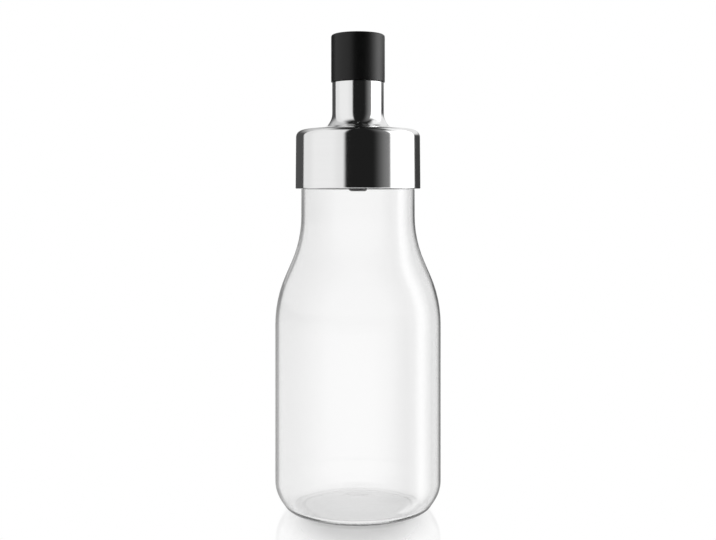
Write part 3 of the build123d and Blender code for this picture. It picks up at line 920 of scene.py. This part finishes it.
def paint_with_painted_shadow(tree, white):
    """White paint with a painted shadow near the bottle: a grey glow, over a small share of the paint's real
    shadow.
    """
    paint = add_node(tree, "ShaderNodeBsdfDiffuse")
    paint.inputs["Color"].default_value = (*grey(1.0), 1)
    partly_painted_shadow = blend(tree, PAINTED_SHADOW_SHARE, paint, emission(tree, PAINTED_SHADOW_LEVEL))
    reach = fade(tree, floor_distance(tree, SHADOW_NARROWING), SHADOW_NEAR, SHADOW_FAR)
    return blend(tree, reach, partly_painted_shadow, white)


def polished(tree, shader, away):
    """Adds the floor's faint mirroring round the bottle."""
    polish = add_node(tree, "ShaderNodeBsdfGlossy")
    polish.inputs["Color"].default_value = (*grey(1.0), 1)
    polish.inputs["Roughness"].default_value = 0.0
    near = calculate(tree, "SUBTRACT", 1.0, fade(tree, away, POLISH_NEAR, POLISH_FAR))
    return blend(tree, calculate(tree, "MULTIPLY", near, POLISH), shader, polish)


def floor_disc():
    """Flat round disc at the height of the foot."""
    mesh = bpy.data.meshes.new("floor")
    angles = [FULL_TURN * step / SMALL_SEGMENTS for step in range(SMALL_SEGMENTS)]
    ring = [(FLOOR_RADIUS * math.cos(angle), FLOOR_RADIUS * math.sin(angle), 0) for angle in angles]
    mesh.from_pydata(ring, [], [list(range(SMALL_SEGMENTS))])
    return new_object("floor", mesh)


def make_floor():
    """White floor with a painted shadow close to the bottle's foot, over a little of its real shadow, and
    painted shade under the bottle, seen through its base.
    """
    floor = floor_disc()
    material, tree, surface = empty_material("white_floor")
    white = emission(tree, 1.0)
    away = floor_distance(tree, 1.0)
    seen = polished(tree, paint_with_painted_shadow(tree, white), away)
    # Seen through the glass, the floor under the bottle is a painted shade that fades to white
    below = blend(tree, fade(tree, away, UNDER_NEAR, UNDER_FAR), emission(tree, UNDER_SHADE_LEVEL), white)
    seen_or_below = light_path_mix(tree, ("Is Transmission Ray", "Is Glossy Ray"), below.outputs[0],
                                   seen.outputs[0])
    clear = add_node(tree, "ShaderNodeBsdfTransparent")
    tree.links.new(light_path_mix(tree, ("Glossy Depth",), clear.outputs[0], seen_or_below), surface)
    floor.data.materials.append(material)
    floor.visible_glossy = False


def sphere_place(azimuth, elevation, radius):
    """Place on a sphere round the bottle, by degrees right of the camera and above the horizon."""
    turn = math.radians(azimuth)
    lift = math.radians(elevation)
    return (radius * math.sin(turn) * math.cos(lift), -radius * math.cos(turn) * math.cos(lift),
            CARD_MIDDLE + radius * math.sin(lift))


def card_grid(name, azimuths, rows, radius, level):
    """Sheet of a sphere, with a level of light at each point."""
    mesh = bpy.data.meshes.new(name)
    verts = [sphere_place(azimuth, row, radius) for row in rows for azimuth in azimuths]
    across = len(azimuths)
    faces = [(row * across + step, row * across + step + 1, (row + 1) * across + step + 1,
              (row + 1) * across + step)
             for row in range(len(rows) - 1) for step in range(across - 1)]
    mesh.from_pydata(verts, [], faces)
    attribute = mesh.attributes.new("level", "FLOAT", "POINT")
    attribute.data.foreach_set("value", [level(azimuth, row) for row in rows for azimuth in azimuths])
    return new_object(name, mesh)


def card_glow(tree, path, within):
    """Light of a card by its points' levels. Within the glass, the wall behind has a level of its own."""
    level = add_node(tree, "ShaderNodeAttribute", attribute_name="level").outputs["Fac"]
    if within:
        walls = add_node(tree, "ShaderNodeMix", data_type="FLOAT")
        behind = calculate(tree, "GREATER_THAN", path["Transmission Depth"], FAR_WALL_DEPTH)
        tree.links.new(behind, walls.inputs["Factor"])
        tree.links.new(level, walls.inputs["A"])
        walls.inputs["B"].default_value = FAR_WALL_LEVEL
        level = walls.outputs["Result"]
    glow = add_node(tree, "ShaderNodeEmission")
    tree.links.new(level, glow.inputs["Strength"])
    return glow


def light_card(sheet, for_glass, within):
    """Light of a card: mirrored by the satin parts, or by clear glass, on its outside or within its wall."""
    material, tree, surface = empty_material(sheet.name)
    path = add_node(tree, "ShaderNodeLightPath").outputs
    glow = card_glow(tree, path, within)
    clear = add_node(tree, "ShaderNodeBsdfTransparent")
    if for_glass:
        mirrored = calculate(tree, "MINIMUM", path["Glossy Depth"], 1.0)
        seen = blend(tree, calculate(tree, "MULTIPLY", path["Is Singular Ray"], mirrored), clear, glow)
    else:
        seen = blend(tree, path["Is Singular Ray"], glow, clear)
    tree.links.new(seen.outputs[0], surface)
    sheet.data.materials.append(material)
    for kind in ("camera", "diffuse", "volume_scatter", "shadow"):
        setattr(sheet, "visible_" + kind, False)
    sheet.visible_transmission = within
    sheet.visible_glossy = not within


def step_at(value, edge):
    """Smooth step from 0 to 1 across an edge, given as its place and its softness."""
    place, softness = edge
    share = min(1.0, max(0.0, (value - place) / softness + 0.5))
    return share * share * (3 - 2 * share)


def level_of_cards(azimuth, elevation):
    """Level of light at one place of the room with the soft-edged cards."""
    level = ROOM_LEVEL
    for left, right, low, high, card_level in SATIN_CARDS:
        cover = (step_at(azimuth, left) * (1 - step_at(azimuth, right))
                 * step_at(elevation, low) * (1 - step_at(elevation, high)))
        level += (card_level - level) * cover
    return level


def level_between(rows):
    """Gives the level between rows of places and levels, by azimuth and elevation."""
    heights = [height for height, row in rows]

    def level(azimuth, elevation):
        levels = [np.interp(azimuth, *zip(*row)) for height, row in rows]
        return float(np.interp(elevation, heights, levels))

    return level


def steps(first, last, step):
    """Whole degrees from the first to the last."""
    return range(first, last + 1, step)


def make_cards():
    """Cards round the bottle for its satin parts, for its glass, and for light that leaves its wall."""
    azimuths = steps(-180, 180, CARD_STEP)
    heights = steps(-CARD_POLE, CARD_POLE, CARD_ROW_STEP)
    satin = card_grid("studio_cards", azimuths, heights, CARD_RADIUS, level_of_cards)
    light_card(satin, for_glass=False, within=False)
    for name, rows, radius, within in (
        ("glass_cards", MIRROR_ROWS, GLASS_CARD_RADIUS, False),
        ("wall_cards", WALL_ROWS, GLASS_CARD_RADIUS, True),
        ("glass_strip", STRIP_ROWS, STRIP_RADIUS, False),
    ):
        lowest, first_row = rows[0]
        azimuths = steps(first_row[0][0], first_row[-1][0], CARD_STEP)
        heights = steps(lowest, rows[-1][0], CARD_ROW_STEP)
        sheet = card_grid(name, azimuths, heights, radius, level_between(rows))
        light_card(sheet, for_glass=True, within=within)


def make_world():
    """Even white world."""
    world = bpy.data.worlds.new("studio")
    bpy.context.scene.world = world
    world.use_nodes = True
    back = world.node_tree.nodes["Background"]
    back.inputs["Color"].default_value = (*grey(1.0), 1)
    back.inputs["Strength"].default_value = 1.0


make_floor()
make_cards()
make_world()


# Camera

def make_camera():
    """Level camera that looks along +Y, with its frame shifted down to the bottle."""
    data = bpy.data.cameras.new("camera")
    data.sensor_width = SENSOR_WIDTH
    data.lens = FOCAL_PIXELS * SENSOR_WIDTH / PHOTO_WIDTH
    data.shift_y = -(PHOTO_HEIGHT / 2 - HORIZON_ROW) / PHOTO_WIDTH
    data.clip_start = CAMERA_NEAR
    camera = bpy.data.objects.new("camera", data)
    bpy.context.scene.collection.objects.link(camera)
    camera.location = (0, -CAMERA_DISTANCE, CAMERA_HEIGHT)
    camera.rotation_euler = (math.pi / 2, 0, 0)
    bpy.context.scene.camera = camera


make_camera()
bpy.context.scene.view_settings.view_transform = "Standard"
